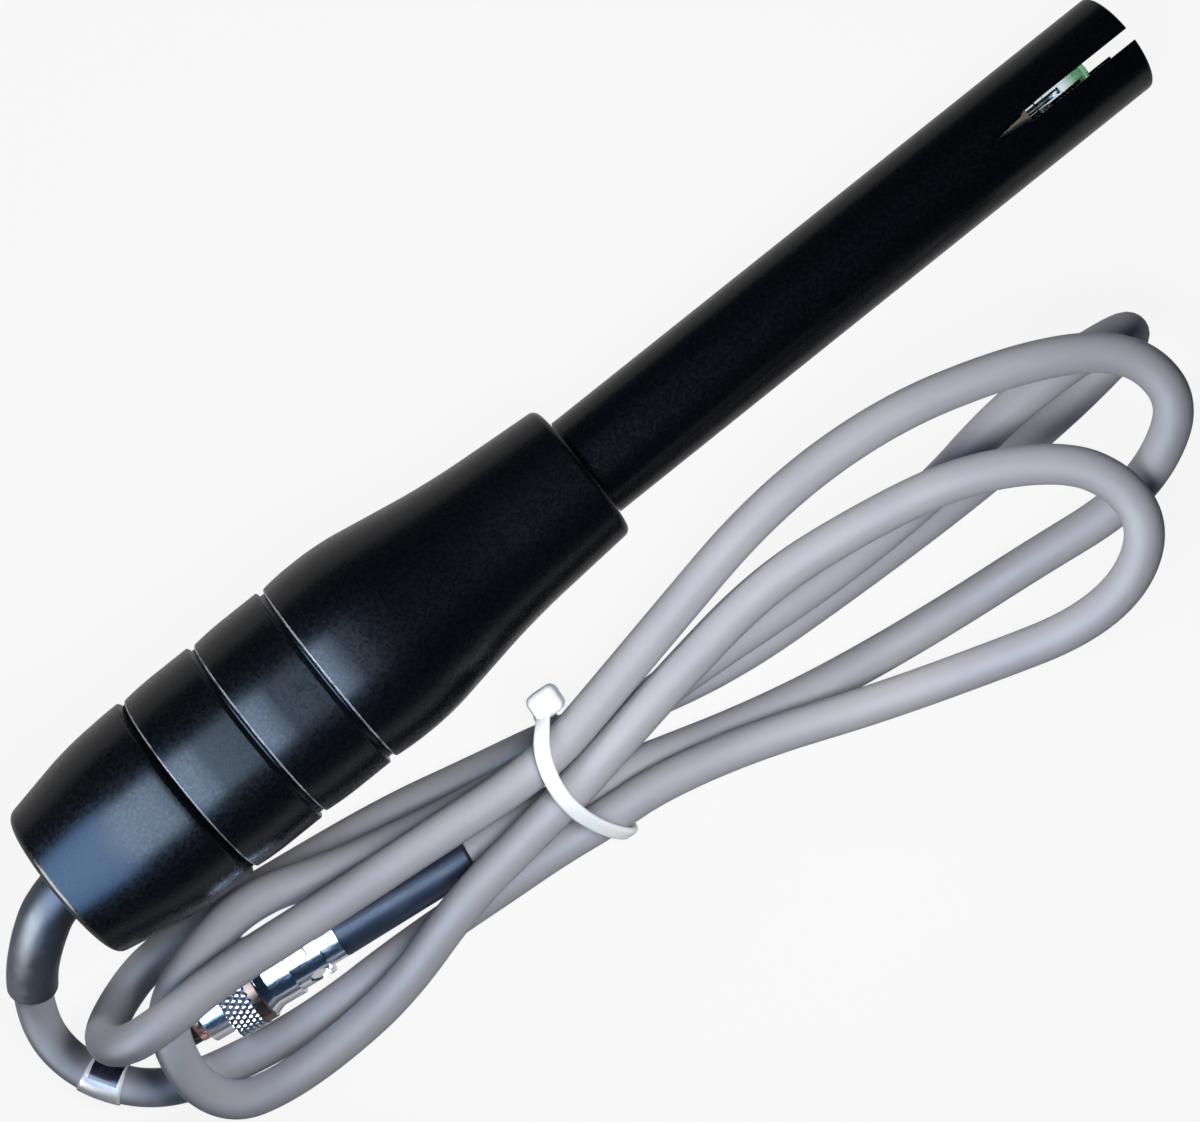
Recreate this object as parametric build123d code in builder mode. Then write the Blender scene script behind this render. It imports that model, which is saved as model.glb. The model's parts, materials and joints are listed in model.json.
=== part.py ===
from build123d import *
import math
import os

os.makedirs("parts", exist_ok=True)

# A pH electrode as it lies on a table: a slotted plastic probe with a stepped
# head, a rear cap and a fixed coaxial cable. The cable is folded to and fro,
# held by a tie, and ends in a plug with a knurled coupling ring.
# Millimetres. The floor is z = 0 and the probe's tip points along +X.

# Probe body and tip
probe_length = 145.0
shaft_radius = 6.0
shaft_wall = 1.0
tip_edge = 0.3
slot_width = 2.2
slot_length = 14.5
slot_run_out = 5.0
slot_roll = 4.0
bulb_recess = 4.6

# Glass and what is inside the shaft
bulb_radius = 3.7
stem_radius = 2.6
glass_wall = 0.5
stem_wall = 0.7
stem_rear_gap = 1.5
silver_wire_radius = 0.35
reference_wire_radius = 0.3
reference_wire_clearance = 11.0
junction_radius = 0.6
junction_proud = 0.3
tip_bush_length = 9.5
tip_bush_behind_bulb = 3.0
upper_bush_length = 4.0
stem_seal_length = 3.0

# Head, bands and grooves
cap_length = 16.35
groove_width = 0.7
groove_depth = 0.55
band_edge = 0.2
band_length = 8.65
band_radius = 11.5
front_band_length = 7.4
front_band_radius = 11.6
cone_length = 13.3
collar_length = 14.0
collar_base_wall = 3.28
collar_mouth_wall = 2.28
collar_edge = 0.8
shaft_seat_depth = 12.0
shaft_seat_step = 0.25
shaft_seat_ahead = 0.5
chamber_width = 1.0
shaft_stop_length = 2.0
seal_ring_section = 0.75
seal_ring_depth = 4.0

# Rear cap
cap_end_radius = 9.35
cap_edge = 0.9
cap_shoulder_share = 0.55
cap_shoulder_radius = 11.2
cap_band_length = 1.55
cap_wall = 3.0
cap_bore_radius = 7.2
cap_mouth_depth = 2.2
cap_mouth_flare = 0.5
spigot_radius = 8.6
spigot_length = 8.0
screw_clearance = 0.05

# Cable, relief sleeve and marker
cable_radius = 2.15
cable_in_cap = 5.8
cable_past_cap = 1.2
sleeve_wall = 0.5
sleeve_length = 18.5
ferrule_wall = 0.9
ferrule_length = 4.0
core_wire_radius = 0.4
marker_wall = 0.15
marker_length = 4.5
marker_from_start = 32.0
cable_fit = 0.03

# Cable tie
tie_width = 2.5
tie_thickness = 0.8
tie_slack = 0.6
tie_head_width = 4.6
tie_head_height = 5.0
tie_head_depth = 3.4
tie_tail_length = 3.0
tie_place = (-23.1, -24.9, 6.0)
tie_heading = -93.9
tie_lean = 10.0

# Plug, with lengths measured along it from the back of its coupling ring
plug_place = (-64.0, -20.6)
plug_heading = -8.5
coupling_radius = 5.2
coupling_length = 4.3
knurl_length = 3.1
plain_band_radius = 5.0
knurl_count = 22
knurl_depth = 0.38
knurl_lean = 35.0
ring_barrel_radius = 4.0
ring_barrel_length = 2.9
ring_clearance = 0.08
spindle_radius = 2.9
spindle_stick_out = 0.4
snap_ring_setback = 0.5
snap_ring_width = 0.5
snap_ring_height = 0.8
snap_ring_gap = 1.2
flange_radius = 4.7
flange_length = 1.0
barrel_radius = 4.3
barrel_length = 2.8
step_radius = 3.9
step_length = 3.9
notch_count = 6
notch_width = 1.3
notch_length = 1.5
step_notch_depth = 0.7
nut_radius = 3.5
nut_thread_radius = 2.8
nut_length = 2.2
nut_flat_depth = 0.45
crimp_tail_radius = 2.6
crimp_tail_length = 4.5
insulator_radius = 2.1
nose_radius = 3.2
nose_length = 1.5
nose_recess_radius = 2.0
nose_recess = 1.1
nose_rib_count = 24
nose_rib_depth = 0.2
front_washer_length = 0.7
front_washer_radius = 3.3
pin_radius = 0.5
pin_length = 13.0
pin_setback = 0.3
core_bore_radius = 1.2
side_screw_radius = 1.2
side_screw_proud = 0.25
side_screw_turn = 55.0
side_screw_place = 2.0
screw_seat = 2.6
boot_length = 16.8
boot_radius = 3.2
boot_mouth_radius = 2.75
boot_edge = 0.4
cable_in_boot = 3.0
cable_past_boot = 6.2

# The probe lies on the front edge of its head and on the edge of its tip
head_rear = cap_length + groove_width
front_band_start = head_rear + 2 * (band_length + groove_width)
cone_start = front_band_start + front_band_length
collar_start = cone_start + cone_length
mouth = collar_start + collar_length
lie = math.atan2(front_band_radius - shaft_radius, probe_length - tip_edge - cone_start)
axis_height = cone_start * math.sin(lie) + front_band_radius * math.cos(lie)
half_span = probe_length * math.cos(lie) + (shaft_radius - cap_end_radius) * math.sin(lie)
probe = Plane(
    origin=(-half_span / 2, 0, axis_height),
    x_dir=(math.cos(lie), 0, -math.sin(lie)),
    z_dir=(0, -1, 0),
)
probe_axis = Axis(probe.origin, probe.x_dir)

# Places along the probe, from the cap's end
bulb_centre = probe_length - bulb_recess - bulb_radius
bulb_rear = bulb_centre - math.sqrt(bulb_radius**2 - stem_radius**2)
shaft_rear = mouth - shaft_seat_depth
stem_rear = shaft_rear + stem_rear_gap
slot_start = probe_length - slot_length
shaft_bore_radius = shaft_radius - shaft_wall
shaft_seat_radius = shaft_radius - shaft_seat_step
shaft_seat_end = mouth + shaft_seat_ahead
stem_bore_radius = stem_radius - stem_wall
inner_offset = (stem_radius + shaft_bore_radius) / 2
tip_bush_end = bulb_rear - tip_bush_behind_bulb
tip_bush_start = tip_bush_end - tip_bush_length


def across(frame, distance):
    """The plane across a frame's own x axis, at a distance along it."""
    return Plane(
        origin=frame.from_local_coords((distance, 0, 0)),
        x_dir=frame.y_dir,
        z_dir=frame.x_dir,
    )


# Shaft tube, turned down where it sits in the collar, with a slot on two sides
# of the guard round the bulb. The cutter runs out to the surface behind each slot.
slot_side = probe.rotated((slot_roll, 0, 0))
with BuildPart() as body_tube:
    with BuildSketch(probe):
        with BuildLine():
            Polyline(
                (shaft_rear, shaft_bore_radius),
                (shaft_rear, shaft_seat_radius),
                (shaft_seat_end, shaft_seat_radius),
                (shaft_seat_end, shaft_radius),
                (probe_length, shaft_radius),
                (probe_length, shaft_bore_radius),
                close=True,
            )
        make_face()
    revolve(axis=probe_axis)
    rims = body_tube.edges().filter_by(GeomType.CIRCLE)
    shaft_rims = rims.filter_by(lambda rim: abs(rim.radius - shaft_radius) < 0.001)
    fillet(shaft_rims.sort_by(Axis.X)[-1], tip_edge)
    with BuildSketch(slot_side) as slot_profile:
        with BuildLine():
            Polyline(
                (probe_length + 1, 0),
                (slot_start, 0),
                (slot_start, shaft_bore_radius),
                (slot_start - slot_run_out, shaft_radius + 0.1),
                (probe_length + 1, shaft_radius + 0.1),
                close=True,
            )
        make_face()
        mirror(about=Plane.XZ)
    extrude(amount=slot_width / 2, both=True, mode=Mode.SUBTRACT)
body_tube.part.label = "body_tube"
export_step(body_tube.part, "parts/body_tube.step")

# Glass electrode: a blown bulb on a stem, one piece, open at the rear
inner_bulb_radius = bulb_radius - glass_wall
inner_bulb_rear = bulb_centre - math.sqrt(inner_bulb_radius**2 - stem_bore_radius**2)
with BuildPart() as glass_electrode:
    with BuildSketch(probe):
        with BuildLine():
            Line((stem_rear, stem_radius), (bulb_rear, stem_radius))
            ThreePointArc(
                (bulb_rear, stem_radius),
                (bulb_centre, bulb_radius),
                (bulb_centre + bulb_radius, 0),
            )
            Line((bulb_centre + bulb_radius, 0), (bulb_centre + inner_bulb_radius, 0))
            ThreePointArc(
                (bulb_centre + inner_bulb_radius, 0),
                (bulb_centre, inner_bulb_radius),
                (inner_bulb_rear, stem_bore_radius),
            )
            Polyline(
                (inner_bulb_rear, stem_bore_radius),
                (stem_rear, stem_bore_radius),
                (stem_rear, stem_radius),
            )
        make_face()
    revolve(axis=probe_axis)
glass_electrode.part.label = "glass_electrode"
export_step(glass_electrode.part, "parts/glass_electrode.step")

# Seal in the stem's rear end, round the silver wire
with BuildPart() as stem_seal:
    with BuildSketch(across(probe, stem_rear)):
        Circle(stem_bore_radius)
        Circle(silver_wire_radius, mode=Mode.SUBTRACT)
    extrude(amount=stem_seal_length)
stem_seal.part.label = "stem_seal"
export_step(stem_seal.part, "parts/stem_seal.step")

# Inner electrode: a chlorided silver wire down to the bulb
with BuildPart() as inner_silver_wire:
    with BuildSketch(across(probe, shaft_rear)):
        Circle(silver_wire_radius)
    extrude(amount=bulb_centre - shaft_rear)
inner_silver_wire.part.label = "inner_silver_wire"
export_step(inner_silver_wire.part, "parts/inner_silver_wire.step")

# Upper bush, between the stem and the shaft tube
with BuildPart() as upper_bush:
    with BuildSketch(across(probe, stem_rear)):
        Circle(shaft_bore_radius)
        Circle(stem_radius, mode=Mode.SUBTRACT)
        with Locations((0, inner_offset)):
            Circle(reference_wire_radius, mode=Mode.SUBTRACT)
    extrude(amount=upper_bush_length)
upper_bush.part.label = "upper_bush"
export_step(upper_bush.part, "parts/upper_bush.step")

# Reference wire, beside the stem
with BuildPart() as reference_wire:
    with BuildSketch(across(probe, shaft_rear)):
        with Locations((0, inner_offset)):
            Circle(reference_wire_radius)
    extrude(amount=tip_bush_start - reference_wire_clearance - shaft_rear)
reference_wire.part.label = "reference_wire"
export_step(reference_wire.part, "parts/reference_wire.step")

# Tip bush, which closes the reference chamber behind the guard
with BuildPart() as tip_bush:
    with BuildSketch(across(probe, tip_bush_start)):
        Circle(shaft_bore_radius)
        Circle(stem_radius, mode=Mode.SUBTRACT)
        with Locations((0, -inner_offset)):
            Circle(junction_radius, mode=Mode.SUBTRACT)
    extrude(amount=tip_bush_length)
tip_bush.part.label = "tip_bush"
export_step(tip_bush.part, "parts/tip_bush.step")

# Ceramic junction, a porous rod through the tip bush
with BuildPart() as ceramic_junction:
    with BuildSketch(across(probe, tip_bush_start)):
        with Locations((0, -inner_offset)):
            Circle(junction_radius)
    extrude(amount=tip_bush_length + junction_proud)
ceramic_junction.part.label = "ceramic_junction"
export_step(ceramic_junction.part, "parts/ceramic_junction.step")

# Head shell: two short bands, a front band, a cone and the collar round the shaft
groove_a = head_rear + band_length
groove_b = groove_a + groove_width + band_length
groove_floor = band_radius - groove_depth
collar_base_radius = shaft_radius + collar_base_wall
collar_mouth_radius = shaft_radius + collar_mouth_wall
chamber_radius = shaft_radius + chamber_width
socket_radius = spigot_radius + screw_clearance
socket_end = head_rear + spigot_length + screw_clearance
seal_ring_place = mouth - seal_ring_depth
with BuildPart() as head_shell:
    with BuildSketch(probe):
        with BuildLine():
            Polyline(
                (head_rear, socket_radius),
                (head_rear, band_radius),
                (groove_a, band_radius),
                (groove_a, groove_floor),
                (groove_a + groove_width, groove_floor),
                (groove_a + groove_width, band_radius),
                (groove_b, band_radius),
                (groove_b, groove_floor),
                (groove_b + groove_width, groove_floor),
                (front_band_start, front_band_radius),
                (cone_start, front_band_radius),
                (collar_start, collar_base_radius),
                (mouth, collar_mouth_radius),
                (mouth, shaft_seat_radius),
                (shaft_rear, shaft_seat_radius),
                (shaft_rear, shaft_bore_radius),
                (shaft_rear - shaft_stop_length, shaft_bore_radius),
                (shaft_rear - shaft_stop_length, chamber_radius),
                (socket_end, chamber_radius),
                (socket_end, socket_radius),
                close=True,
            )
        make_face()
        with Locations((seal_ring_place, shaft_seat_radius + seal_ring_section)):
            Rectangle(2 * seal_ring_section, 2 * seal_ring_section, mode=Mode.SUBTRACT)
    revolve(axis=probe_axis)
    rims = head_shell.edges().filter_by(GeomType.CIRCLE)
    fillet(rims.filter_by(lambda rim: abs(rim.radius - band_radius) < 0.001), band_edge)
    rims = head_shell.edges().filter_by(GeomType.CIRCLE)
    front_rims = rims.filter_by(lambda rim: abs(rim.radius - front_band_radius) < 0.001)
    fillet(front_rims.sort_by(Axis.X)[0], band_edge)
    rims = head_shell.edges().filter_by(GeomType.CIRCLE)
    mouth_rims = rims.filter_by(lambda rim: abs(rim.radius - collar_mouth_radius) < 0.001)
    fillet(mouth_rims, collar_edge)
head_shell.part.label = "head_shell"
export_step(head_shell.part, "parts/head_shell.step")

# Seal ring round the shaft, in the collar
with BuildPart() as seal_ring:
    with BuildSketch(probe):
        with Locations((seal_ring_place, shaft_seat_radius + seal_ring_section)):
            Circle(seal_ring_section)
    revolve(axis=probe_axis)
seal_ring.part.label = "seal_ring"
export_step(seal_ring.part, "parts/seal_ring.step")

# Rear cap, with the spigot that goes into the head
cable_bore_radius = cable_radius + cable_fit
sleeve_radius = cable_bore_radius + sleeve_wall
cap_hole_radius = sleeve_radius + cable_fit
with BuildPart() as rear_cap:
    with BuildSketch(probe):
        with BuildLine():
            Polyline(
                (cap_mouth_depth, cap_hole_radius),
                (0, cap_hole_radius + cap_mouth_flare),
                (0, cap_end_radius),
                (cap_shoulder_share * cap_length, cap_shoulder_radius),
                (cap_length - cap_band_length, band_radius),
                (cap_length, band_radius),
                (cap_length, groove_floor),
                (head_rear, groove_floor),
                (head_rear, spigot_radius),
                (head_rear + spigot_length, spigot_radius),
                (head_rear + spigot_length, cap_bore_radius),
                (cap_wall, cap_bore_radius),
                (cap_wall, cap_hole_radius),
                close=True,
            )
        make_face()
    revolve(axis=probe_axis)
    rims = rear_cap.edges().filter_by(GeomType.CIRCLE)
    fillet(rims.filter_by(lambda rim: abs(rim.radius - cap_end_radius) < 0.001), cap_edge)
    rims = rear_cap.edges().filter_by(GeomType.CIRCLE)
    band_rims = rims.filter_by(lambda rim: abs(rim.radius - band_radius) < 0.001)
    fillet(band_rims.sort_by(Axis.X)[-1], band_edge)
rear_cap.part.label = "rear_cap"
export_step(rear_cap.part, "parts/rear_cap.step")

# Ferrule crimped on the cable behind the cap's wall
with BuildPart() as cable_ferrule:
    with BuildSketch(across(probe, cap_wall)):
        Circle(cable_bore_radius + ferrule_wall)
        Circle(cable_bore_radius, mode=Mode.SUBTRACT)
    extrude(amount=ferrule_length)
cable_ferrule.part.label = "cable_ferrule"
export_step(cable_ferrule.part, "parts/cable_ferrule.step")

# Core wire, from the cable's end to the silver wire
with BuildPart() as core_wire:
    with BuildSketch(across(probe, cable_in_cap)):
        Circle(core_wire_radius)
    extrude(amount=shaft_rear - cable_in_cap)
core_wire.part.label = "core_wire"
export_step(core_wire.part, "parts/core_wire.step")

# The plug lies on its coupling ring
heading = math.radians(plug_heading)
plug = Plane(
    origin=(plug_place[0], plug_place[1], coupling_radius),
    x_dir=(math.cos(heading), math.sin(heading), 0),
    z_dir=(math.sin(heading), -math.cos(heading), 0),
)
plug_axis = Axis(plug.origin, plug.x_dir)

# Places along the plug
ring_front = -coupling_length - ring_barrel_length
spindle_front = ring_front - spindle_stick_out
washer_front = spindle_front - front_washer_length
nose_front = washer_front - nose_length
flange_start = ring_clearance
barrel_start = flange_start + flange_length
step_start = barrel_start + barrel_length
nut_start = step_start + step_length
boot_start = nut_start + nut_length
boot_end = boot_start + boot_length
pin_start = nose_front + pin_setback
cable_end = boot_end - cable_in_boot

# The cable's route, from the cap to the boot, by points in its bends
cable_points = [
    probe.from_local_coords((cable_in_cap, 0, 0)),
    probe.from_local_coords((-cable_past_cap, 0, 0)),
    (-79.5, -3.0, 11.0), (-84.5, -6.5, 4.5), (-87.0, -12.0, 2.5),
    (-85.5, -18.5, 2.5), (-80.5, -24.5, 2.5), (-72.5, -27.5, 2.2),
    (-62.0, -29.5, 2.2), (-49.5, -29.5, 2.2), (-37.5, -30.0, 2.8),
    (-30.0, -30.2, 4.7), (-23.5, -31.0, 6.2), (-16.5, -31.5, 6.7),
    (-5.5, -34.5, 6.7), (7.0, -39.5, 7.5), (19.5, -43.5, 10.5),
    (28.5, -46.0, 14.0), (35.5, -45.5, 16.5), (40.5, -42.0, 17.5),
    (41.0, -36.5, 18.0), (38.0, -31.0, 18.0), (29.0, -25.5, 17.0),
    (18.0, -23.0, 15.0), (5.5, -21.5, 13.0), (-9.0, -23.5, 12.0),
    (-17.5, -25.0, 11.5), (-23.5, -26.0, 10.7), (-31.5, -27.0, 10.0),
    (-40.5, -28.0, 10.0), (-52.5, -31.5, 7.0), (-62.0, -32.0, 7.0),
    (-69.0, -31.5, 7.0), (-74.0, -30.0, 7.5), (-76.0, -25.5, 9.0),
    (-74.5, -20.0, 11.5), (-72.0, -16.5, 11.5), (-66.5, -14.5, 11.0),
    (-58.5, -13.5, 9.0), (-49.5, -17.0, 8.5), (-37.0, -20.0, 8.5),
    (-29.0, -21.5, 8.0), (-22.5, -22.0, 8.0), (-17.0, -23.5, 7.3),
    (-6.0, -24.0, 6.7), (11.0, -25.5, 6.7), (25.5, -25.5, 7.5),
    (36.5, -23.5, 9.5), (45.0, -23.5, 11.6), (50.7, -24.2, 11.8),
    (53.5, -25.0, 9.0), (53.5, -26.0, 5.0), (50.7, -26.8, 2.2),
    (43.0, -27.6, 2.2), (29.5, -28.0, 2.2), (13.5, -27.5, 2.2),
    (-2.5, -26.5, 2.2), (-16.0, -23.0, 2.5), (-23.0, -20.5, 3.9),
    (-32.0, -18.5, 2.5), (-42.0, -16.0, 2.2), (-55.0, -14.0, 2.2),
    (-66.0, -12.5, 2.2), (-73.0, -12.0, 2.2), (-78.5, -13.5, 3.0),
    (-81.0, -15.5, 9.0), (-78.0, -17.5, 15.0), (-72.0, -18.5, 16.5),
    (-65.5, -18.5, 14.5), (-53.0, -20.0, 13.5), (-39.0, -21.0, 13.2),
    (-31.0, -21.5, 12.3), (-23.5, -21.7, 12.3), (-17.0, -20.5, 12.2),
    (-7.0, -18.5, 12.3), (10.5, -15.0, 14.0), (26.0, -15.5, 15.5),
    (39.5, -19.5, 16.5), (48.0, -24.0, 16.5), (51.5, -28.5, 16.0),
    (51.5, -34.0, 15.0), (46.5, -37.5, 13.5), (40.0, -39.0, 11.0),
    (30.5, -38.0, 7.5), (18.0, -37.0, 3.5), (4.5, -35.0, 2.2),
    (-6.0, -32.5, 2.2), (-15.5, -29.5, 2.5), (-22.5, -27.2, 3.7),
    plug.from_local_coords((boot_end + cable_past_boot, 0, 0)),
    plug.from_local_coords((cable_end, 0, 0)),
]

# Each bend is as large as its two runs allow
bend_radii = []
for before, corner, after in zip(cable_points, cable_points[1:], cable_points[2:]):
    run_in = Vector(corner) - Vector(before)
    run_out = Vector(after) - Vector(corner)
    half_turn = math.radians(run_in.get_angle(run_out) / 2)
    shorter_run = min(run_in.length, run_out.length)
    bend_radii.append(0.45 * shorter_run / math.tan(half_turn))
print("bend radii", [round(radius, 1) for radius in bend_radii])

with BuildPart() as cable:
    with BuildLine() as cable_line:
        FilletPolyline(*cable_points, radius=bend_radii)
    cable_path = cable_line.wires()[0]
    with BuildSketch(Plane(origin=cable_path @ 0, z_dir=cable_path % 0)):
        Circle(cable_radius)
    sweep(path=cable_path)
cable.part.label = "cable"
export_step(cable.part, "parts/cable.step")
cable_length = cable_path.length
swept_share = cable.part.volume / (math.pi * cable_radius**2 * cable_length)
print("cable length", round(cable_length, 1), "volume over section by length", round(swept_share, 4))

# Relief sleeve on the cable, through the cap's wall
sleeve_start = (cable_in_cap - cap_wall) / cable_length
sleeve_path = cable_path.trim(sleeve_start, sleeve_start + sleeve_length / cable_length)
with BuildPart() as strain_relief:
    with BuildSketch(Plane(origin=sleeve_path @ 0, z_dir=sleeve_path % 0)):
        Circle(sleeve_radius)
        Circle(cable_bore_radius, mode=Mode.SUBTRACT)
    sweep(path=sleeve_path)
strain_relief.part.label = "strain_relief"
export_step(strain_relief.part, "parts/strain_relief.step")

# Wrapped marker on the cable
marker_start = marker_from_start / cable_length
marker_path = cable_path.trim(marker_start, marker_start + marker_length / cable_length)
with BuildPart() as cable_marker:
    with BuildSketch(Plane(origin=marker_path @ 0, z_dir=marker_path % 0)):
        Circle(cable_bore_radius + marker_wall)
        Circle(cable_bore_radius, mode=Mode.SUBTRACT)
    sweep(path=marker_path)
cable_marker.part.label = "cable_marker"
export_step(cable_marker.part, "parts/cable_marker.step")

# Cable tie: a strap round the hull of the six strands, with its head and tail.
# In its plane x runs across the hank and y runs up.
tie_turn = math.radians(tie_heading)
tie_tilt = math.radians(tie_lean)
tie_plane = Plane(
    origin=tie_place,
    x_dir=(math.cos(tie_turn), math.sin(tie_turn), 0),
    z_dir=(
        math.sin(tie_turn) * math.cos(tie_tilt),
        -math.cos(tie_turn) * math.cos(tie_tilt),
        -math.sin(tie_tilt),
    ),
)
strand_places = [(-4.1, -2.5), (2.3, -2.3), (6.0, 0.0), (1.2, 4.8), (-3.3, 6.4), (-2.9, 2.0)]
strap_inside = cable_radius + tie_slack
strap_left = min(place[0] for place in strand_places) - strap_inside
with BuildPart() as cable_tie:
    with BuildSketch(tie_plane):
        with Locations(*strand_places):
            Circle(strap_inside + tie_thickness)
        make_hull()
    extrude(amount=tie_width / 2, both=True)
    with BuildSketch(tie_plane):
        with Locations((strap_left - tie_head_depth / 2, 0)):
            Rectangle(tie_head_depth, tie_head_height)
    extrude(amount=tie_head_width / 2, both=True)
    with BuildSketch(tie_plane):
        with Locations((strap_left - tie_head_depth / 2, tie_head_height / 2)):
            Rectangle(tie_thickness, 2 * tie_tail_length)
    extrude(amount=tie_width / 2, both=True)
    with BuildSketch(tie_plane):
        with Locations(*strand_places):
            Circle(strap_inside)
        make_hull()
    extrude(amount=tie_head_width, both=True, mode=Mode.SUBTRACT)
cable_tie.part.label = "cable_tie"
export_step(cable_tie.part, "parts/cable_tie.step")

# The side screw's seat, on the step, turned from the top towards the front
screw_line = plug.rotated((side_screw_turn, 0, 0))
screw_plane = Plane(
    origin=screw_line.from_local_coords((step_start + side_screw_place, screw_seat, 0)),
    x_dir=screw_line.x_dir,
    z_dir=screw_line.y_dir,
)
screw_axis = Axis(screw_plane.origin, screw_plane.z_dir)

# Plug body: spindle for the coupling ring, flange, barrel, notched step,
# thread for the nut and tail in the boot
snap_ring_start = -coupling_length - snap_ring_setback - snap_ring_width
snap_groove_floor = spindle_radius - snap_ring_height / 2
with BuildPart() as plug_body:
    with BuildSketch(plug):
        with BuildLine():
            Polyline(
                (spindle_front, insulator_radius),
                (spindle_front, spindle_radius),
                (snap_ring_start, spindle_radius),
                (snap_ring_start, snap_groove_floor),
                (snap_ring_start + snap_ring_width, snap_groove_floor),
                (snap_ring_start + snap_ring_width, spindle_radius),
                (flange_start, spindle_radius),
                (flange_start, flange_radius),
                (barrel_start, barrel_radius),
                (step_start, barrel_radius),
                (step_start, step_radius),
                (nut_start, step_radius),
                (nut_start, nut_thread_radius),
                (boot_start, nut_thread_radius),
                (boot_start, crimp_tail_radius),
                (boot_start + crimp_tail_length, crimp_tail_radius),
                (boot_start + crimp_tail_length, core_bore_radius),
                (barrel_start, core_bore_radius),
                (barrel_start, insulator_radius),
                close=True,
            )
        make_face()
    revolve(axis=plug_axis)
    with BuildSketch(across(plug, nut_start)):
        with PolarLocations(step_radius, notch_count):
            Rectangle(2 * step_notch_depth, notch_width)
    extrude(amount=-notch_length, mode=Mode.SUBTRACT)
    with BuildSketch(screw_plane):
        Circle(side_screw_radius)
    extrude(amount=step_radius, mode=Mode.SUBTRACT)
plug_body.part.label = "plug_body"
export_step(plug_body.part, "parts/plug_body.step")

# Side screw that holds the cable's clamp
with BuildPart() as side_screw:
    with BuildSketch(screw_plane):
        Circle(side_screw_radius - cable_fit)
    extrude(amount=step_radius - screw_seat + side_screw_proud)
    fillet(side_screw.faces().sort_by(screw_axis)[-1].edges(), side_screw_proud)
side_screw.part.label = "side_screw"
export_step(side_screw.part, "parts/side_screw.step")

# Snap ring that keeps the coupling ring on its spindle
snap_ring_radius = spindle_radius + snap_ring_height / 2
with BuildPart() as snap_ring:
    with BuildSketch(across(plug, snap_ring_start)):
        Circle(snap_ring_radius)
        Circle(snap_groove_floor, mode=Mode.SUBTRACT)
        with Locations((0, snap_ring_radius)):
            Rectangle(snap_ring_gap, snap_ring_radius, mode=Mode.SUBTRACT)
    extrude(amount=snap_ring_width)
snap_ring.part.label = "snap_ring"
export_step(snap_ring.part, "parts/snap_ring.step")

# Coupling ring: a smooth barrel, a diamond knurl and a plain band. The knurl is
# two sets of leaning V grooves, cut to the same depth.
ring_bore_radius = spindle_radius + ring_clearance
counterbore_radius = snap_ring_radius + ring_clearance
counterbore_end = snap_ring_start + snap_ring_width + ring_clearance
knurl_middle = -coupling_length + knurl_length / 2
groove_reach = knurl_length / math.cos(math.radians(knurl_lean))
with BuildPart() as knurl_groove:
    with BuildSketch(Plane.YZ):
        Polygon((-knurl_depth, 0), (knurl_depth, 0), (0, -knurl_depth), align=None)
    extrude(amount=groove_reach / 2, both=True)
with BuildPart() as coupling_ring:
    with BuildSketch(plug):
        with BuildLine():
            Polyline(
                (ring_front, counterbore_radius),
                (ring_front, ring_barrel_radius),
                (-coupling_length, ring_barrel_radius),
                (-coupling_length, coupling_radius),
                (-coupling_length + knurl_length, coupling_radius),
                (-coupling_length + knurl_length, plain_band_radius),
                (0, plain_band_radius),
                (0, ring_bore_radius),
                (counterbore_end, ring_bore_radius),
                (counterbore_end, counterbore_radius),
                close=True,
            )
        make_face()
    revolve(axis=plug_axis)
    knurl_places = []
    for number in range(knurl_count):
        turned = plug.rotated((360 * number / knurl_count, 0, 0))
        for lean in (-knurl_lean, knurl_lean):
            crest = Plane(
                origin=turned.from_local_coords((knurl_middle, coupling_radius + 0.02, 0)),
                x_dir=turned.x_dir,
                z_dir=turned.y_dir,
            )
            knurl_places.append(crest.rotated((0, 0, lean)).location)
    add([knurl_groove.part.moved(place) for place in knurl_places], mode=Mode.SUBTRACT)
coupling_ring.part.label = "coupling_ring"
export_step(coupling_ring.part, "parts/coupling_ring.step")

# Clamp nut with two flats
with BuildPart() as clamp_nut:
    with BuildSketch(across(plug, nut_start)):
        Circle(nut_radius)
        Circle(nut_thread_radius, mode=Mode.SUBTRACT)
        with Locations((0, nut_radius), (0, -nut_radius)):
            Rectangle(2 * nut_radius, 2 * nut_flat_depth, mode=Mode.SUBTRACT)
    extrude(amount=nut_length)
clamp_nut.part.label = "clamp_nut"
export_step(clamp_nut.part, "parts/clamp_nut.step")

# Front washer between the spindle and the nose
with BuildPart() as front_washer:
    with BuildSketch(across(plug, washer_front)):
        Circle(front_washer_radius)
        Circle(insulator_radius, mode=Mode.SUBTRACT)
    extrude(amount=front_washer_length)
front_washer.part.label = "front_washer"
export_step(front_washer.part, "parts/front_washer.step")

# Insulator with its ribbed nose
with BuildPart() as insulator:
    with BuildSketch(plug):
        with BuildLine():
            Polyline(
                (nose_front + nose_recess, pin_radius),
                (nose_front + nose_recess, nose_recess_radius),
                (nose_front, nose_recess_radius),
                (nose_front, nose_radius),
                (washer_front, nose_radius),
                (washer_front, insulator_radius),
                (barrel_start, insulator_radius),
                (barrel_start, pin_radius),
                close=True,
            )
        make_face()
    revolve(axis=plug_axis)
    with BuildSketch(across(plug, nose_front)):
        with PolarLocations(nose_radius, nose_rib_count):
            Rectangle(2 * nose_rib_depth, 2 * nose_rib_depth)
    extrude(amount=nose_length - nose_rib_depth, mode=Mode.SUBTRACT)
insulator.part.label = "insulator"
export_step(insulator.part, "parts/insulator.step")

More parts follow.
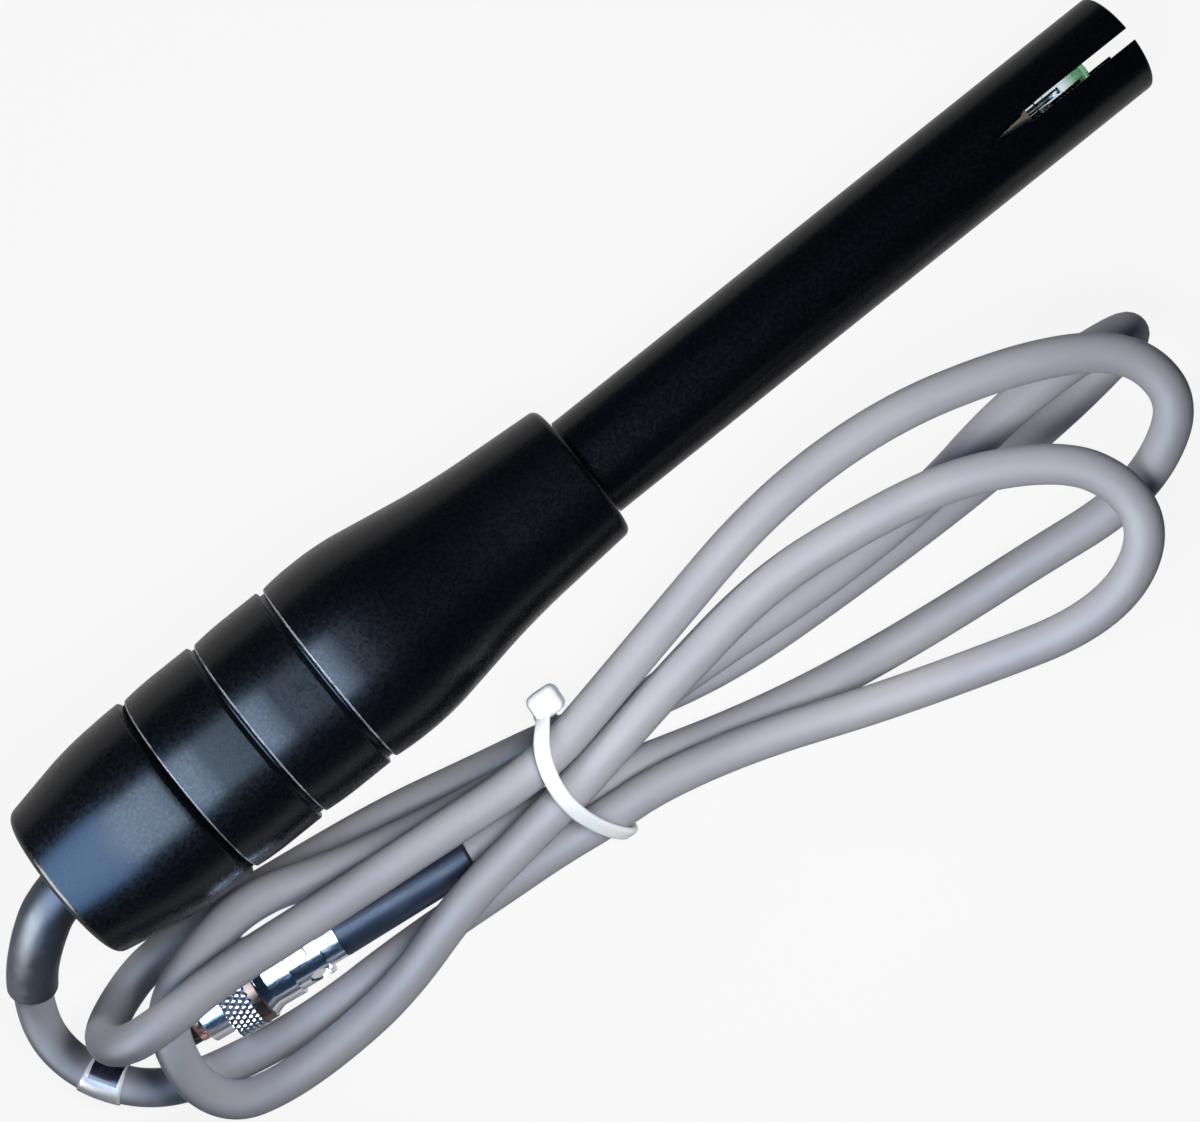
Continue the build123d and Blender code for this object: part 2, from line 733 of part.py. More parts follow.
# Contact pin through the insulator
with BuildPart() as contact_pin:
    with BuildSketch(across(plug, pin_start)):
        Circle(pin_radius)
    extrude(amount=pin_length)
    fillet(contact_pin.faces().sort_by(plug_axis)[0].edges(), pin_radius / 2)
contact_pin.part.label = "contact_pin"
export_step(contact_pin.part, "parts/contact_pin.step")

# Core wire in the plug, from the pin to the cable's end
with BuildPart() as plug_core_wire:
    with BuildSketch(across(plug, pin_start + pin_length)):
        Circle(core_wire_radius)
    extrude(amount=cable_end - pin_start - pin_length)
plug_core_wire.part.label = "plug_core_wire"
export_step(plug_core_wire.part, "parts/plug_core_wire.step")

# Boot over the crimp tail and the cable's end
with BuildPart() as plug_boot:
    with BuildSketch(plug):
        with BuildLine():
            Polyline(
                (boot_start, crimp_tail_radius),
                (boot_start, boot_radius),
                (boot_end, boot_mouth_radius),
                (boot_end, cable_bore_radius),
                (cable_end, cable_bore_radius),
                (cable_end, core_bore_radius),
                (boot_start + crimp_tail_length, core_bore_radius),
                (boot_start + crimp_tail_length, crimp_tail_radius),
                close=True,
            )
        make_face()
    revolve(axis=plug_axis)
    rims = plug_boot.edges().filter_by(GeomType.CIRCLE)
    mouth_rims = rims.filter_by(lambda rim: abs(rim.radius - boot_mouth_radius) < 0.001)
    fillet(mouth_rims, boot_edge)
plug_boot.part.label = "plug_boot"
export_step(plug_boot.part, "parts/plug_boot.step")
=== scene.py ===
"""The pH electrode's looks: its finishes, its cable and the pieces that need a
finer form than the model has. Metres, in the model's own frame: +X along the
probe to its tip, +Z up, the floor at z = 0."""

import json
import math

import bmesh
import bpy
from mathutils import Matrix, Vector


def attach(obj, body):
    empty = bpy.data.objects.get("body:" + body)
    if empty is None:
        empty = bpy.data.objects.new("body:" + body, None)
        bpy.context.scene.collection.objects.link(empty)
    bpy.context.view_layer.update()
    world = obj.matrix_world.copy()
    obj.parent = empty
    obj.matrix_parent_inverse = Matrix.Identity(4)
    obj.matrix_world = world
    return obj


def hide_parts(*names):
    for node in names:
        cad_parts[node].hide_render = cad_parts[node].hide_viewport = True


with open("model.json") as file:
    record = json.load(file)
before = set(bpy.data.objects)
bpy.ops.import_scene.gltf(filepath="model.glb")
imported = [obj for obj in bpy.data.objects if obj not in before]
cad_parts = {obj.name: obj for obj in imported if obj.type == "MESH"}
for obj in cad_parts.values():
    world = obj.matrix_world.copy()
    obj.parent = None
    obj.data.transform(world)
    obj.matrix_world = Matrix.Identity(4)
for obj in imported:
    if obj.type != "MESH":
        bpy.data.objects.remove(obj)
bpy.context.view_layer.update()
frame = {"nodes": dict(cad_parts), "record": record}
nodes = frame["nodes"]

# Sizes shared with the model
MM = 0.001
CABLE_DIAMETER = 0.0043

# The cable's route from the cap to the plug's boot
CABLE_ROUTE = [
    (-0.0665, 0.0, 0.0136), (-0.0735, 0.0, 0.014), (-0.0795, -0.003, 0.011),
    (-0.0845, -0.0065, 0.0045), (-0.087, -0.012, 0.0025), (-0.0855, -0.0185, 0.0025),
    (-0.0805, -0.0243, 0.0025), (-0.0725, -0.0268, 0.0022), (-0.062, -0.0286, 0.0022),
    (-0.0495, -0.0288, 0.0022), (-0.0375, -0.0298, 0.0028), (-0.03, -0.0302, 0.0047),
    (-0.0235, -0.031, 0.0062), (-0.0165, -0.0315, 0.0067), (-0.0055, -0.0345, 0.0067),
    (0.007, -0.0395, 0.0075), (0.0195, -0.0435, 0.0105), (0.0285, -0.046, 0.014),
    (0.0355, -0.0455, 0.0165), (0.0405, -0.042, 0.0175), (0.041, -0.0365, 0.018),
    (0.038, -0.031, 0.018), (0.029, -0.0255, 0.017), (0.018, -0.023, 0.015),
    (0.0055, -0.0215, 0.013), (-0.009, -0.0235, 0.012), (-0.0175, -0.025, 0.0115),
    (-0.0235, -0.026, 0.0107), (-0.0315, -0.027, 0.01), (-0.0405, -0.028, 0.01),
    (-0.0525, -0.0315, 0.007), (-0.062, -0.032, 0.007), (-0.069, -0.0315, 0.007),
    (-0.074, -0.03, 0.0075), (-0.076, -0.0255, 0.009), (-0.0745, -0.02, 0.0115),
    (-0.072, -0.0165, 0.0115), (-0.0665, -0.0145, 0.011), (-0.0585, -0.0135, 0.009),
    (-0.0495, -0.017, 0.0085), (-0.037, -0.02, 0.0085), (-0.029, -0.0215, 0.008),
    (-0.0225, -0.022, 0.008), (-0.017, -0.0235, 0.0073), (-0.006, -0.024, 0.0067),
    (0.011, -0.0255, 0.0067), (0.0255, -0.0255, 0.0075), (0.0365, -0.0235, 0.0095),
    (0.045, -0.0235, 0.0116), (0.0507, -0.0242, 0.0118), (0.0535, -0.025, 0.009),
    (0.0535, -0.026, 0.005), (0.0507, -0.0268, 0.0022), (0.043, -0.0276, 0.0022),
    (0.0295, -0.028, 0.0022), (0.0135, -0.0275, 0.0022), (-0.0025, -0.0265, 0.0022),
    (-0.016, -0.023, 0.0025), (-0.023, -0.0205, 0.0039), (-0.032, -0.0185, 0.0025),
    (-0.042, -0.016, 0.0022), (-0.055, -0.014, 0.0022), (-0.066, -0.0125, 0.0022),
    (-0.073, -0.012, 0.0022), (-0.0785, -0.0135, 0.003), (-0.081, -0.0155, 0.009),
    (-0.078, -0.0175, 0.015), (-0.072, -0.018, 0.0165), (-0.0655, -0.0178, 0.0145),
    (-0.053, -0.0193, 0.0135), (-0.039, -0.0206, 0.0132), (-0.031, -0.0215, 0.0123),
    (-0.0235, -0.0217, 0.0123), (-0.017, -0.0205, 0.0122), (-0.007, -0.0185, 0.0123),
    (0.0105, -0.015, 0.014), (0.026, -0.0155, 0.0155), (0.0395, -0.0195, 0.0165),
    (0.048, -0.024, 0.0165), (0.0515, -0.0285, 0.016), (0.0515, -0.034, 0.015),
    (0.0465, -0.0375, 0.0135), (0.04, -0.039, 0.011), (0.0305, -0.038, 0.0075),
    (0.018, -0.037, 0.0035), (0.0045, -0.035, 0.0022), (-0.006, -0.0325, 0.0022),
    (-0.0155, -0.0295, 0.0025), (-0.0225, -0.0272, 0.0037), (-0.0314, -0.0255, 0.0052),
    (-0.0405, -0.0241, 0.0052),
]


# Finishes

# A noise pattern's usual lowest and highest values
PATTERN_LOW = 0.3
PATTERN_HIGH = 0.7


def new_finish(name, color, roughness, metallic=0.0):
    """A material with its shader's plain values set, and its node tree."""
    finish = bpy.data.materials.new(name)
    finish.use_nodes = True
    tree = finish.node_tree
    shader = tree.nodes["Principled BSDF"]
    shader.inputs["Base Color"].default_value = (*color, 1)
    shader.inputs["Roughness"].default_value = roughness
    shader.inputs["Metallic"].default_value = metallic
    return finish, tree, shader


def noise(tree, scale, detail=3.0, stretch=(1, 1, 1)):
    """A noise pattern fixed to the object's own coordinates."""
    place = tree.nodes.new("ShaderNodeTexCoord")
    mapping = tree.nodes.new("ShaderNodeMapping")
    mapping.inputs["Scale"].default_value = stretch
    pattern = tree.nodes.new("ShaderNodeTexNoise")
    pattern.inputs["Scale"].default_value = scale
    pattern.inputs["Detail"].default_value = detail
    tree.links.new(place.outputs["Object"], mapping.inputs["Vector"])
    tree.links.new(mapping.outputs["Vector"], pattern.inputs["Vector"])
    return pattern


def ranged(tree, value, start, end, low=0.0, high=1.0):
    """A value that runs from low to high while another runs from start to end."""
    span = tree.nodes.new("ShaderNodeMapRange")
    span.inputs["From Min"].default_value = start
    span.inputs["From Max"].default_value = end
    span.inputs["To Min"].default_value = low
    span.inputs["To Max"].default_value = high
    tree.links.new(value, span.inputs["Value"])
    return span.outputs["Result"]


def vary(tree, shader, pattern, socket, low, high):
    """Runs a pattern through a range into one of the shader's sockets."""
    value = ranged(tree, pattern.outputs["Fac"], PATTERN_LOW, PATTERN_HIGH, low, high)
    tree.links.new(value, shader.inputs[socket])


def tint(tree, shader, pattern, dark, light):
    """Colours the surface between two tones by a pattern."""
    ramp = tree.nodes.new("ShaderNodeValToRGB")
    ramp.color_ramp.elements[0].position = PATTERN_LOW
    ramp.color_ramp.elements[0].color = (*dark, 1)
    ramp.color_ramp.elements[1].position = PATTERN_HIGH
    ramp.color_ramp.elements[1].color = (*light, 1)
    tree.links.new(pattern.outputs["Fac"], ramp.inputs["Fac"])
    tree.links.new(ramp.outputs["Color"], shader.inputs["Base Color"])


def grain(tree, shader, pattern, strength, depth):
    """Raises the surface by a pattern."""
    bump = tree.nodes.new("ShaderNodeBump")
    bump.inputs["Strength"].default_value = strength
    bump.inputs["Distance"].default_value = depth
    tree.links.new(pattern.outputs["Fac"], bump.inputs["Height"])
    tree.links.new(bump.outputs["Normal"], shader.inputs["Normal"])


def math_node(tree, operation, *sources):
    """A math node's result. A source is a socket or a plain number."""
    node = tree.nodes.new("ShaderNodeMath")
    node.operation = operation
    for socket, source in zip(node.inputs, sources):
        if isinstance(source, bpy.types.NodeSocket):
            tree.links.new(source, socket)
        else:
            socket.default_value = source
    return node.outputs["Value"]


def places_in(tree, location, rotation, scale=(1, 1, 1)):
    """The object's coordinates, split, as they are in a frame of their own."""
    place = tree.nodes.new("ShaderNodeTexCoord")
    mapping = tree.nodes.new("ShaderNodeMapping")
    mapping.vector_type = "TEXTURE"
    mapping.inputs["Location"].default_value = location
    mapping.inputs["Rotation"].default_value = rotation
    mapping.inputs["Scale"].default_value = scale
    split = tree.nodes.new("ShaderNodeSeparateXYZ")
    tree.links.new(place.outputs["Object"], mapping.inputs["Vector"])
    tree.links.new(mapping.outputs["Vector"], split.inputs["Vector"])
    return split.outputs


def paint_over(tree, shader, mask, color):
    """Lays a colour over the surface's own where a mask is one."""
    base = shader.inputs["Base Color"]
    mix = tree.nodes.new("ShaderNodeMix")
    mix.data_type = "RGBA"
    own, over = [socket for socket in mix.inputs if socket.type == "RGBA"]
    own.default_value = base.default_value
    over.default_value = (*color, 1)
    if base.is_linked:
        tree.links.new(base.links[0].from_socket, own)
    tree.links.new(mask, mix.inputs["Factor"])
    blended = next(socket for socket in mix.outputs if socket.type == "RGBA")
    tree.links.new(blended, base)


def moulded_black(name, roughness):
    finish, tree, shader = new_finish(name, (0.0012, 0.0014, 0.002), roughness)
    shader.inputs["Specular IOR Level"].default_value = 0.3
    vary(tree, shader, noise(tree, 2400, 4), "Roughness", roughness - 0.05, roughness + 0.07)
    tint(tree, shader, noise(tree, 1500), (0.001, 0.0012, 0.0018), (0.0015, 0.0018, 0.0026))
    grain(tree, shader, noise(tree, 3200, 2), 0.25, 0.00002)
    return finish


def painted_glint_rings(finish, first, second, width, last):
    """Paints thin pale rings on the head from the first along the probe: a painted highlight for
    the glint of its band edges.
    The second gives their spacing, and none is painted past the last place."""
    tree = finish.node_tree
    shader = tree.nodes["Principled BSDF"]
    along = places_in(tree, probe_frame.translation, probe_frame.to_euler())["X"]
    in_step = math_node(tree, "WRAP", along, second, first)
    on_ring = math_node(tree, "LESS_THAN", in_step, first + width)
    on_bands = math_node(tree, "LESS_THAN", along, last)
    patches = ranged(tree, noise(tree, 600).outputs["Fac"], 0.35, 0.5, 0.35, 1.0)
    glint = math_node(tree, "MULTIPLY", math_node(tree, "MULTIPLY", on_ring, on_bands), patches)
    # Painted highlight: the pale, patchy rings stand in for the glint of the band edges
    paint_over(tree, shader, glint, (0.42, 0.45, 0.52))


def cable_jacket(name):
    finish, tree, shader = new_finish(name, (0.33, 0.335, 0.37), 0.5)
    shader.inputs["Specular IOR Level"].default_value = 0.2
    tint(tree, shader, noise(tree, 70, 4), (0.325, 0.33, 0.37), (0.37, 0.37, 0.4))
    vary(tree, shader, noise(tree, 300), "Roughness", 0.45, 0.6)
    grain(tree, shader, noise(tree, 3000, 2), 0.12, 0.00002)
    return finish


def soft_rubber(name, dark, light, roughness):
    finish, tree, shader = new_finish(name, light, roughness)
    tint(tree, shader, noise(tree, 200, 4), dark, light)
    vary(tree, shader, noise(tree, 500), "Roughness", roughness - 0.06, roughness + 0.08)
    grain(tree, shader, noise(tree, 3500, 2), 0.2, 0.00003)
    return finish


def white_nylon(name):
    finish, tree, shader = new_finish(name, (0.86, 0.9, 0.95), 0.35)
    shader.inputs["Subsurface Weight"].default_value = 0.3
    shader.inputs["Subsurface Radius"].default_value = (0.6, 0.8, 1.0)
    shader.inputs["Subsurface Scale"].default_value = 0.001
    tint(tree, shader, noise(tree, 180), (0.8, 0.86, 0.93), (0.92, 0.95, 0.98))
    grain(tree, shader, noise(tree, 1800, 2), 0.1, 0.00003)
    return finish


def plated_metal(name, color, low, high):
    finish, tree, shader = new_finish(name, color, low, metallic=1.0)
    vary(tree, shader, noise(tree, 700, 5, (1, 4, 4)), "Roughness", low, high)
    grain(tree, shader, noise(tree, 2500, 2, (1, 6, 6)), 0.08, 0.00001)
    return finish


CLEAR_GLASS = (0.84, 0.88, 0.92)
GREEN_GLASS = (0.1, 0.34, 0.15)


def bulb_glass(name, green_from, green_to):
    """Clear glass on the stem and green towards the bulb's front, between two
    places along x."""
    finish, tree, shader = new_finish(name, CLEAR_GLASS, 0.02)
    shader.inputs["Transmission Weight"].default_value = 1.0
    shader.inputs["IOR"].default_value = 1.5
    vary(tree, shader, noise(tree, 300), "Roughness", 0.01, 0.05)
    along = places_in(tree, (0, 0, 0), (0, 0, 0))["X"]
    paint_over(tree, shader, ranged(tree, along, green_from, green_to), GREEN_GLASS)
    return finish


def plain_plastic(name, dark, light, roughness):
    finish, tree, shader = new_finish(name, light, roughness)
    tint(tree, shader, noise(tree, 350), dark, light)
    vary(tree, shader, noise(tree, 900), "Roughness", roughness - 0.05, roughness + 0.08)
    return finish


cap_black = moulded_black("cap_black", 0.27)
head_black = moulded_black("head_black", 0.27)
shaft_black = moulded_black("shaft_black", 0.24)
grey_jacket = cable_jacket("grey_jacket")
sleeve_rubber = soft_rubber("sleeve_rubber", (0.012, 0.016, 0.028), (0.02, 0.025, 0.04), 0.45)
boot_rubber = soft_rubber("boot_rubber", (0.008, 0.014, 0.03), (0.014, 0.022, 0.045), 0.38)
tie_nylon = white_nylon("tie_nylon")
plug_chrome = plated_metal("plug_chrome", (0.88, 0.87, 0.86), 0.1, 0.2)
ring_chrome = plated_metal("ring_chrome", (0.9, 0.89, 0.88), 0.16, 0.26)
# Painted shade: a dark metal put in the knurl's grooves where shade falls in them
groove_painted_shade = plated_metal("groove_painted_shade", (0.1, 0.09, 0.085), 0.4, 0.55)
# Painted shade: a dark brown metal on the plain band behind the knurl, for the shade at its chamfer
band_painted_shade = plated_metal("band_painted_shade", (0.17, 0.11, 0.08), 0.25, 0.38)
nut_nickel = plated_metal("nut_nickel", (0.75, 0.75, 0.74), 0.14, 0.26)
copper_washer = plated_metal("copper_washer", (0.86, 0.5, 0.42), 0.18, 0.3)
gold_contact = plated_metal("gold_contact", (0.9, 0.7, 0.35), 0.12, 0.22)
silver_wire = plated_metal("silver_wire", (0.7, 0.7, 0.68), 0.25, 0.4)
electrode_glass = bulb_glass("electrode_glass", 0.0655, 0.0672)
bush_resin = plain_plastic("bush_resin", (0.2, 0.16, 0.11), (0.3, 0.25, 0.18), 0.5)
white_ceramic = plain_plastic("white_ceramic", (0.75, 0.74, 0.7), (0.85, 0.84, 0.8), 0.6)
nose_black = plain_plastic("nose_black", (0.008, 0.008, 0.009), (0.016, 0.016, 0.018), 0.32)

NODE_FINISHES = {
    "glass_electrode": electrode_glass,
    "tip_bush": bush_resin,
    "upper_bush": bush_resin,
    "ceramic_junction": white_ceramic,
    "seal_ring": nose_black,
    "stem_seal": nose_black,
    "inner_silver_wire": silver_wire,
    "reference_wire": silver_wire,
    "core_wire": copper_washer,
    "plug_core_wire": copper_washer,
    "cable_ferrule": nut_nickel,
    "snap_ring": nut_nickel,
    "plug_boot": boot_rubber,
    "plug_body": plug_chrome,
    "clamp_nut": nut_nickel,
    "side_screw": plug_chrome,
    "front_washer": copper_washer,
    "insulator": nose_black,
    "contact_pin": gold_contact,
}
for node, finish in NODE_FINISHES.items():
    nodes[node].data.materials.clear()
    nodes[node].data.materials.append(finish)


# Cable


def cord_curve(name, route, diameter, finish):
    """A round cord along a smooth curve with the route's points as its controls."""
    data = bpy.data.curves.new(name, "CURVE")
    data.dimensions = "3D"
    data.bevel_depth = diameter / 2
    data.bevel_resolution = 8
    data.resolution_u = 12
    data.use_fill_caps = True
    spline = data.splines.new("NURBS")
    spline.points.add(len(route) - 1)
    for point, place in zip(spline.points, route):
        point.co = (*place, 1)
    spline.order_u = 3
    spline.use_endpoint_u = True
    data.materials.append(finish)
    cord = bpy.data.objects.new(name, data)
    bpy.context.collection.objects.link(cord)
    return cord


cable = cord_curve("electrode_cable", CABLE_ROUTE, CABLE_DIAMETER, grey_jacket)
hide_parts("cable")
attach(cable, "electrode")


def smooth_line(cord):
    """The points of a cord's own spline, in order, with no bevel."""
    bare = cord.copy()
    bare.data = cord.data.copy()
    bare.data.bevel_depth = 0
    line = bpy.data.meshes.new_from_object(bare)
    points = [vertex.co.copy() for vertex in line.vertices]
    bpy.data.objects.remove(bare)
    return points


def place_along(points, distance):
    """The place at a distance along a line of points."""
    for start, end in zip(points, points[1:]):
        length = (end - start).length
        if distance <= length:
            return start.lerp(end, distance / length)
        distance -= length
    return points[-1]


def tube_along(name, points, outline, finish):
    """A tube round a line, with its radius given at distances along it."""
    data = bpy.data.curves.new(name, "CURVE")
    data.dimensions = "3D"
    data.bevel_depth = 1.0
    data.bevel_resolution = 10
    data.use_fill_caps = True
    spline = data.splines.new("POLY")
    spline.points.add(len(outline) - 1)
    for point, (distance, radius) in zip(spline.points, outline):
        point.co = (*place_along(points, distance), 1)
        point.radius = radius
    spline.use_smooth = True
    data.materials.append(finish)
    tube = bpy.data.objects.new(name, data)
    bpy.context.collection.objects.link(tube)
    return tube


# Relief sleeve: it swells behind the cap's hole and tapers to a rounded end
SLEEVE_START = 2.8 * MM
SLEEVE_LENGTH = 18.5 * MM
SLEEVE_ROOT_RADIUS = 2.68 * MM
SLEEVE_SWELL = 2.0 * MM
SLEEVE_MOST_RADIUS = 2.95 * MM
SLEEVE_END_RADIUS = 2.78 * MM
SLEEVE_STEPS = 40
SLEEVE_END_ROUNDING = ((0.1, 0.03), (0.18, 0.1), (0.22, 0.25))
cable_line = smooth_line(cable)
sleeve_outline = [(SLEEVE_START, SLEEVE_ROOT_RADIUS)]
for step in range(SLEEVE_STEPS + 1):
    share = step / SLEEVE_STEPS
    radius = SLEEVE_MOST_RADIUS + (SLEEVE_END_RADIUS - SLEEVE_MOST_RADIUS) * share
    place = SLEEVE_START + SLEEVE_SWELL + (SLEEVE_LENGTH - SLEEVE_SWELL) * share
    sleeve_outline.append((place, radius))
for past, less in SLEEVE_END_ROUNDING:
    sleeve_outline.append((SLEEVE_START + SLEEVE_LENGTH + past * MM, SLEEVE_END_RADIUS - less * MM))
sleeve = tube_along("relief_sleeve", cable_line, sleeve_outline, sleeve_rubber)
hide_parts("strain_relief")
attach(sleeve, "electrode")

# Wrapped marker: a white film with a plain dark block on its inner side
MARKER_MIDDLE = 36.2 * MM
MARKER_LENGTH = 4.5 * MM
MARKER_RADIUS = 2.34 * MM
MARKER_STEPS = 12
MARKER_EDGE = 0.06 * MM
MARKER_EDGE_DROP = 0.12 * MM
BLOCK_LENGTH = 3.3 * MM
BLOCK_WIDTH = 2.6 * MM
BLOCK_SHIFT = 1.3 * MM


def marker_film(name, middle, direction):
    """White film, with a dark block that lies beside the cable's line."""
    finish, tree, shader = new_finish(name, (0.85, 0.86, 0.9), 0.25)
    inward = Vector((-direction.y, direction.x, 0)).normalized()
    turn = math.atan2(direction.y, direction.x)
    half_block = (BLOCK_LENGTH / 2, BLOCK_WIDTH / 2, 1)
    places = places_in(tree, middle + inward * BLOCK_SHIFT, (0, 0, turn), half_block)
    inside = [
        math_node(tree, "LESS_THAN", math_node(tree, "ABSOLUTE", places[axis]), 1.0)
        for axis in ("X", "Y")
    ]
    paint_over(tree, shader, math_node(tree, "MULTIPLY", *inside), (0.012, 0.012, 0.03))
    vary(tree, shader, noise(tree, 800), "Roughness", 0.2, 0.32)
    return finish


marker_start = MARKER_MIDDLE - MARKER_LENGTH / 2
marker_end = MARKER_MIDDLE + MARKER_LENGTH / 2
marker_outline = [(marker_start, MARKER_RADIUS - MARKER_EDGE_DROP)]
for step in range(MARKER_STEPS + 1):
    share = step / MARKER_STEPS
    place = marker_start + MARKER_EDGE + (MARKER_LENGTH - 2 * MARKER_EDGE) * share
    marker_outline.append((place, MARKER_RADIUS))
marker_outline.append((marker_end, MARKER_RADIUS - MARKER_EDGE_DROP))
marker_way = place_along(cable_line, marker_end) - place_along(cable_line, marker_start)
white_film = marker_film("white_film", place_along(cable_line, MARKER_MIDDLE), marker_way)
marker = tube_along("wrapped_marker", cable_line, marker_outline, white_film)
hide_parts("cable_marker")
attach(marker, "electrode")


# Turned head and cap

# The probe's own frame: x from the cap's end along its axis, y up
shaft_mount = next(mount for mount in frame["record"]["mounts"] if mount["name"] == "shaft")
MOUNT_PLACE = 107.825 * MM
probe_way = Vector(shaft_mount["axis"]).normalized()
probe_start = Vector(shaft_mount["pos_m"]) - probe_way * MOUNT_PLACE
probe_turn = probe_way.to_track_quat("X", "Z").to_matrix().to_4x4()
probe_frame = Matrix.Translation(probe_start) @ probe_turn
TURN_STEPS = 160


def finished(name, form, finish):
    """An object from a bmesh, smooth, with normals that keep its flats flat."""
    bmesh.ops.recalc_face_normals(form, faces=form.faces)
    mesh = bpy.data.meshes.new(name)
    form.to_mesh(mesh)
    form.free()
    mesh.shade_smooth()
    mesh.materials.append(finish)
    piece = bpy.data.objects.new(name, mesh)
    bpy.context.collection.objects.link(piece)
    even = piece.modifiers.new("even", "WEIGHTED_NORMAL")
    even.weight = 100
    return piece


def spun(outline, steps):
    """A form turned round the x axis. Its outline is closed, in millimetres, as
    (place along the axis, radius, length that a corner is rounded over)."""
    form = bmesh.new()
    corners = [form.verts.new((along * MM, radius * MM, 0)) for along, radius, _ in outline]
    for start, end in zip(corners, corners[1:] + corners[:1]):
        form.edges.new((start, end))
    for corner, (_, _, rounding) in zip(corners, outline):
        if rounding:
            bmesh.ops.bevel(
                form,
                geom=[corner],
                offset=rounding * MM,
                offset_type="OFFSET",
                segments=5,
                profile=0.5,
                affect="VERTICES",
                material=-1,
            )
    bmesh.ops.spin(
        form,
        geom=form.verts[:] + form.edges[:],
        axis=(1, 0, 0),
        cent=(0, 0, 0),
        dvec=(0, 0, 0),
        angle=math.tau,
        steps=steps,
        use_merge=True,
        use_duplicate=False,
    )
    return form


def turned(name, outline, finish):
    """A turned piece in the probe's frame."""
    form = spun(outline, TURN_STEPS)
    form.transform(probe_frame)
    return finished(name, form, finish)


# The edge in front of each groove is painted light, a painted highlight for its glint
FIRST_EDGE = 17.02 * MM
SECOND_EDGE = 26.37 * MM
BANDS_END = 37.0 * MM
GLINT_WIDTH = 0.24 * MM
painted_glint_rings(head_black, FIRST_EDGE, SECOND_EDGE, GLINT_WIDTH, BANDS_END)

cap = turned(
    "turned_cap",
    [
        (2.2, 2.71, 0),
        (0, 3.21, 0.1),
        (0, 9.35, 0.9),
        (8.99, 11.2, 2.5),
        (14.8, 11.5, 0.8),
        (16.35, 11.5, 0.2),
        (16.35, 10.95, 0),
        (17.05, 10.95, 0),
        (17.05, 8.6, 0),
        (25.05, 8.6, 0),
        (25.05, 7.2, 0),
        (3.0, 7.2, 0),
        (3.0, 2.71, 0),
    ],
    cap_black,
)
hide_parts("rear_cap")
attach(cap, "electrode")

head = turned(
    "turned_head",
    [
        (17.05, 8.65, 0),
        (17.05, 11.25, 0.25),
        (19.05, 11.5, 1.9),
        (25.7, 11.5, 0.2),
        (25.7, 10.95, 0),
        (26.4, 10.95, 0),
        (26.4, 11.25, 0.25),
        (28.4, 11.5, 1.9),
        (35.05, 11.5, 0.2),
        (35.05, 10.95, 0),
        (35.75, 10.95, 0),
        (35.75, 11.35, 0.3),
        (37.75, 11.6, 1.6),
        (43.15, 11.6, 2.4),
        (56.45, 9.28, 4.0),
        (70.45, 8.28, 0.8),
        (70.45, 5.78, 0),
        (58.45, 5.78, 0),
        (58.45, 5.05, 0),
        (56.45, 5.05, 0),
        (56.45, 7.0, 0),
        (25.1, 7.0, 0),
        (25.1, 8.65, 0),
    ],
    head_black,
)
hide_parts("head_shell")
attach(head, "electrode")


# Shaft tube: its slots are narrow and run out in a point behind the guard
shaft_tube = turned(
    "shaft_tube",
    [
        (58.45, 5.0, 0),
        (58.45, 5.75, 0),
        (70.95, 5.75, 0),
        (70.95, 6.0, 0),
        (124.5, 6.0, 0),
        (125.0, 6.0, 0),
        (145.0, 6.0, 0.35),
        (145.0, 5.0, 0.1),
    ],
    shaft_black,
)
SLOT_HALF_WIDTH = 0.75 * MM
SLOT_START = 130.5 * MM
SLOT_NARROWS = 130.0 * MM
SLOT_NARROW_HALF_WIDTH = 0.42 * MM
SLOT_POINT = 125.5 * MM
SLOT_PAST_TIP = 146.0 * MM
SLOT_REACH = 8.0 * MM
SLOT_ROLL = math.radians(3)
form = bmesh.new()
corners = [
    form.verts.new((along, across, -SLOT_REACH))
    for along, across in (
        (SLOT_PAST_TIP, -SLOT_HALF_WIDTH),
        (SLOT_PAST_TIP, SLOT_HALF_WIDTH),
        (SLOT_START, SLOT_HALF_WIDTH),
        (SLOT_NARROWS, SLOT_NARROW_HALF_WIDTH),
        (SLOT_POINT, 0),
        (SLOT_NARROWS, -SLOT_NARROW_HALF_WIDTH),
        (SLOT_START, -SLOT_HALF_WIDTH),
    )
]
flat = form.faces.new(corners)
raised = bmesh.ops.extrude_face_region(form, geom=[flat])
raised_corners = [part for part in raised["geom"] if isinstance(part, bmesh.types.BMVert)]
bmesh.ops.translate(form, vec=(0, 0, 2 * SLOT_REACH), verts=raised_corners)
form.transform(probe_frame @ Matrix.Rotation(SLOT_ROLL, 4, "X"))
slot_cutter = finished("slot_cutter", form, shaft_black)
cut = shaft_tube.modifiers.new("slots", "BOOLEAN")
cut.object = slot_cutter
cut.operation = "DIFFERENCE"
cut.solver = "EXACT"
# The slots are cut before the normals are weighted, and both are applied
shaft_tube.modifiers.move(1, 0)
as_built = bpy.context.evaluated_depsgraph_get()
shaft_tube.data = bpy.data.meshes.new_from_object(shaft_tube.evaluated_get(as_built))
shaft_tube.modifiers.clear()
bpy.data.objects.remove(slot_cutter)
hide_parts("body_tube")
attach(shaft_tube, "electrode")


# Cable tie

# The tie's own plane: x across the hank, y up
TIE_PLACE = (-0.0231, -0.0249, 0.006)
TIE_TURN = math.radians(-93.9)
TIE_LEAN = math.radians(10)
tie_across = Vector((math.cos(TIE_TURN), math.sin(TIE_TURN), 0))
tie_through = Vector(
    (
        math.sin(TIE_TURN) * math.cos(TIE_LEAN),
        -math.cos(TIE_TURN) * math.cos(TIE_LEAN),
        -math.sin(TIE_LEAN),
    )
)
tie_up = tie_through.cross(tie_across)
tie_turn = Matrix((tie_across, tie_up, tie_through)).transposed().to_4x4()
tie_frame = Matrix.Translation(TIE_PLACE) @ tie_turn
TIE_WIDTH = 1.8 * MM
TIE_THICKNESS = 0.8 * MM
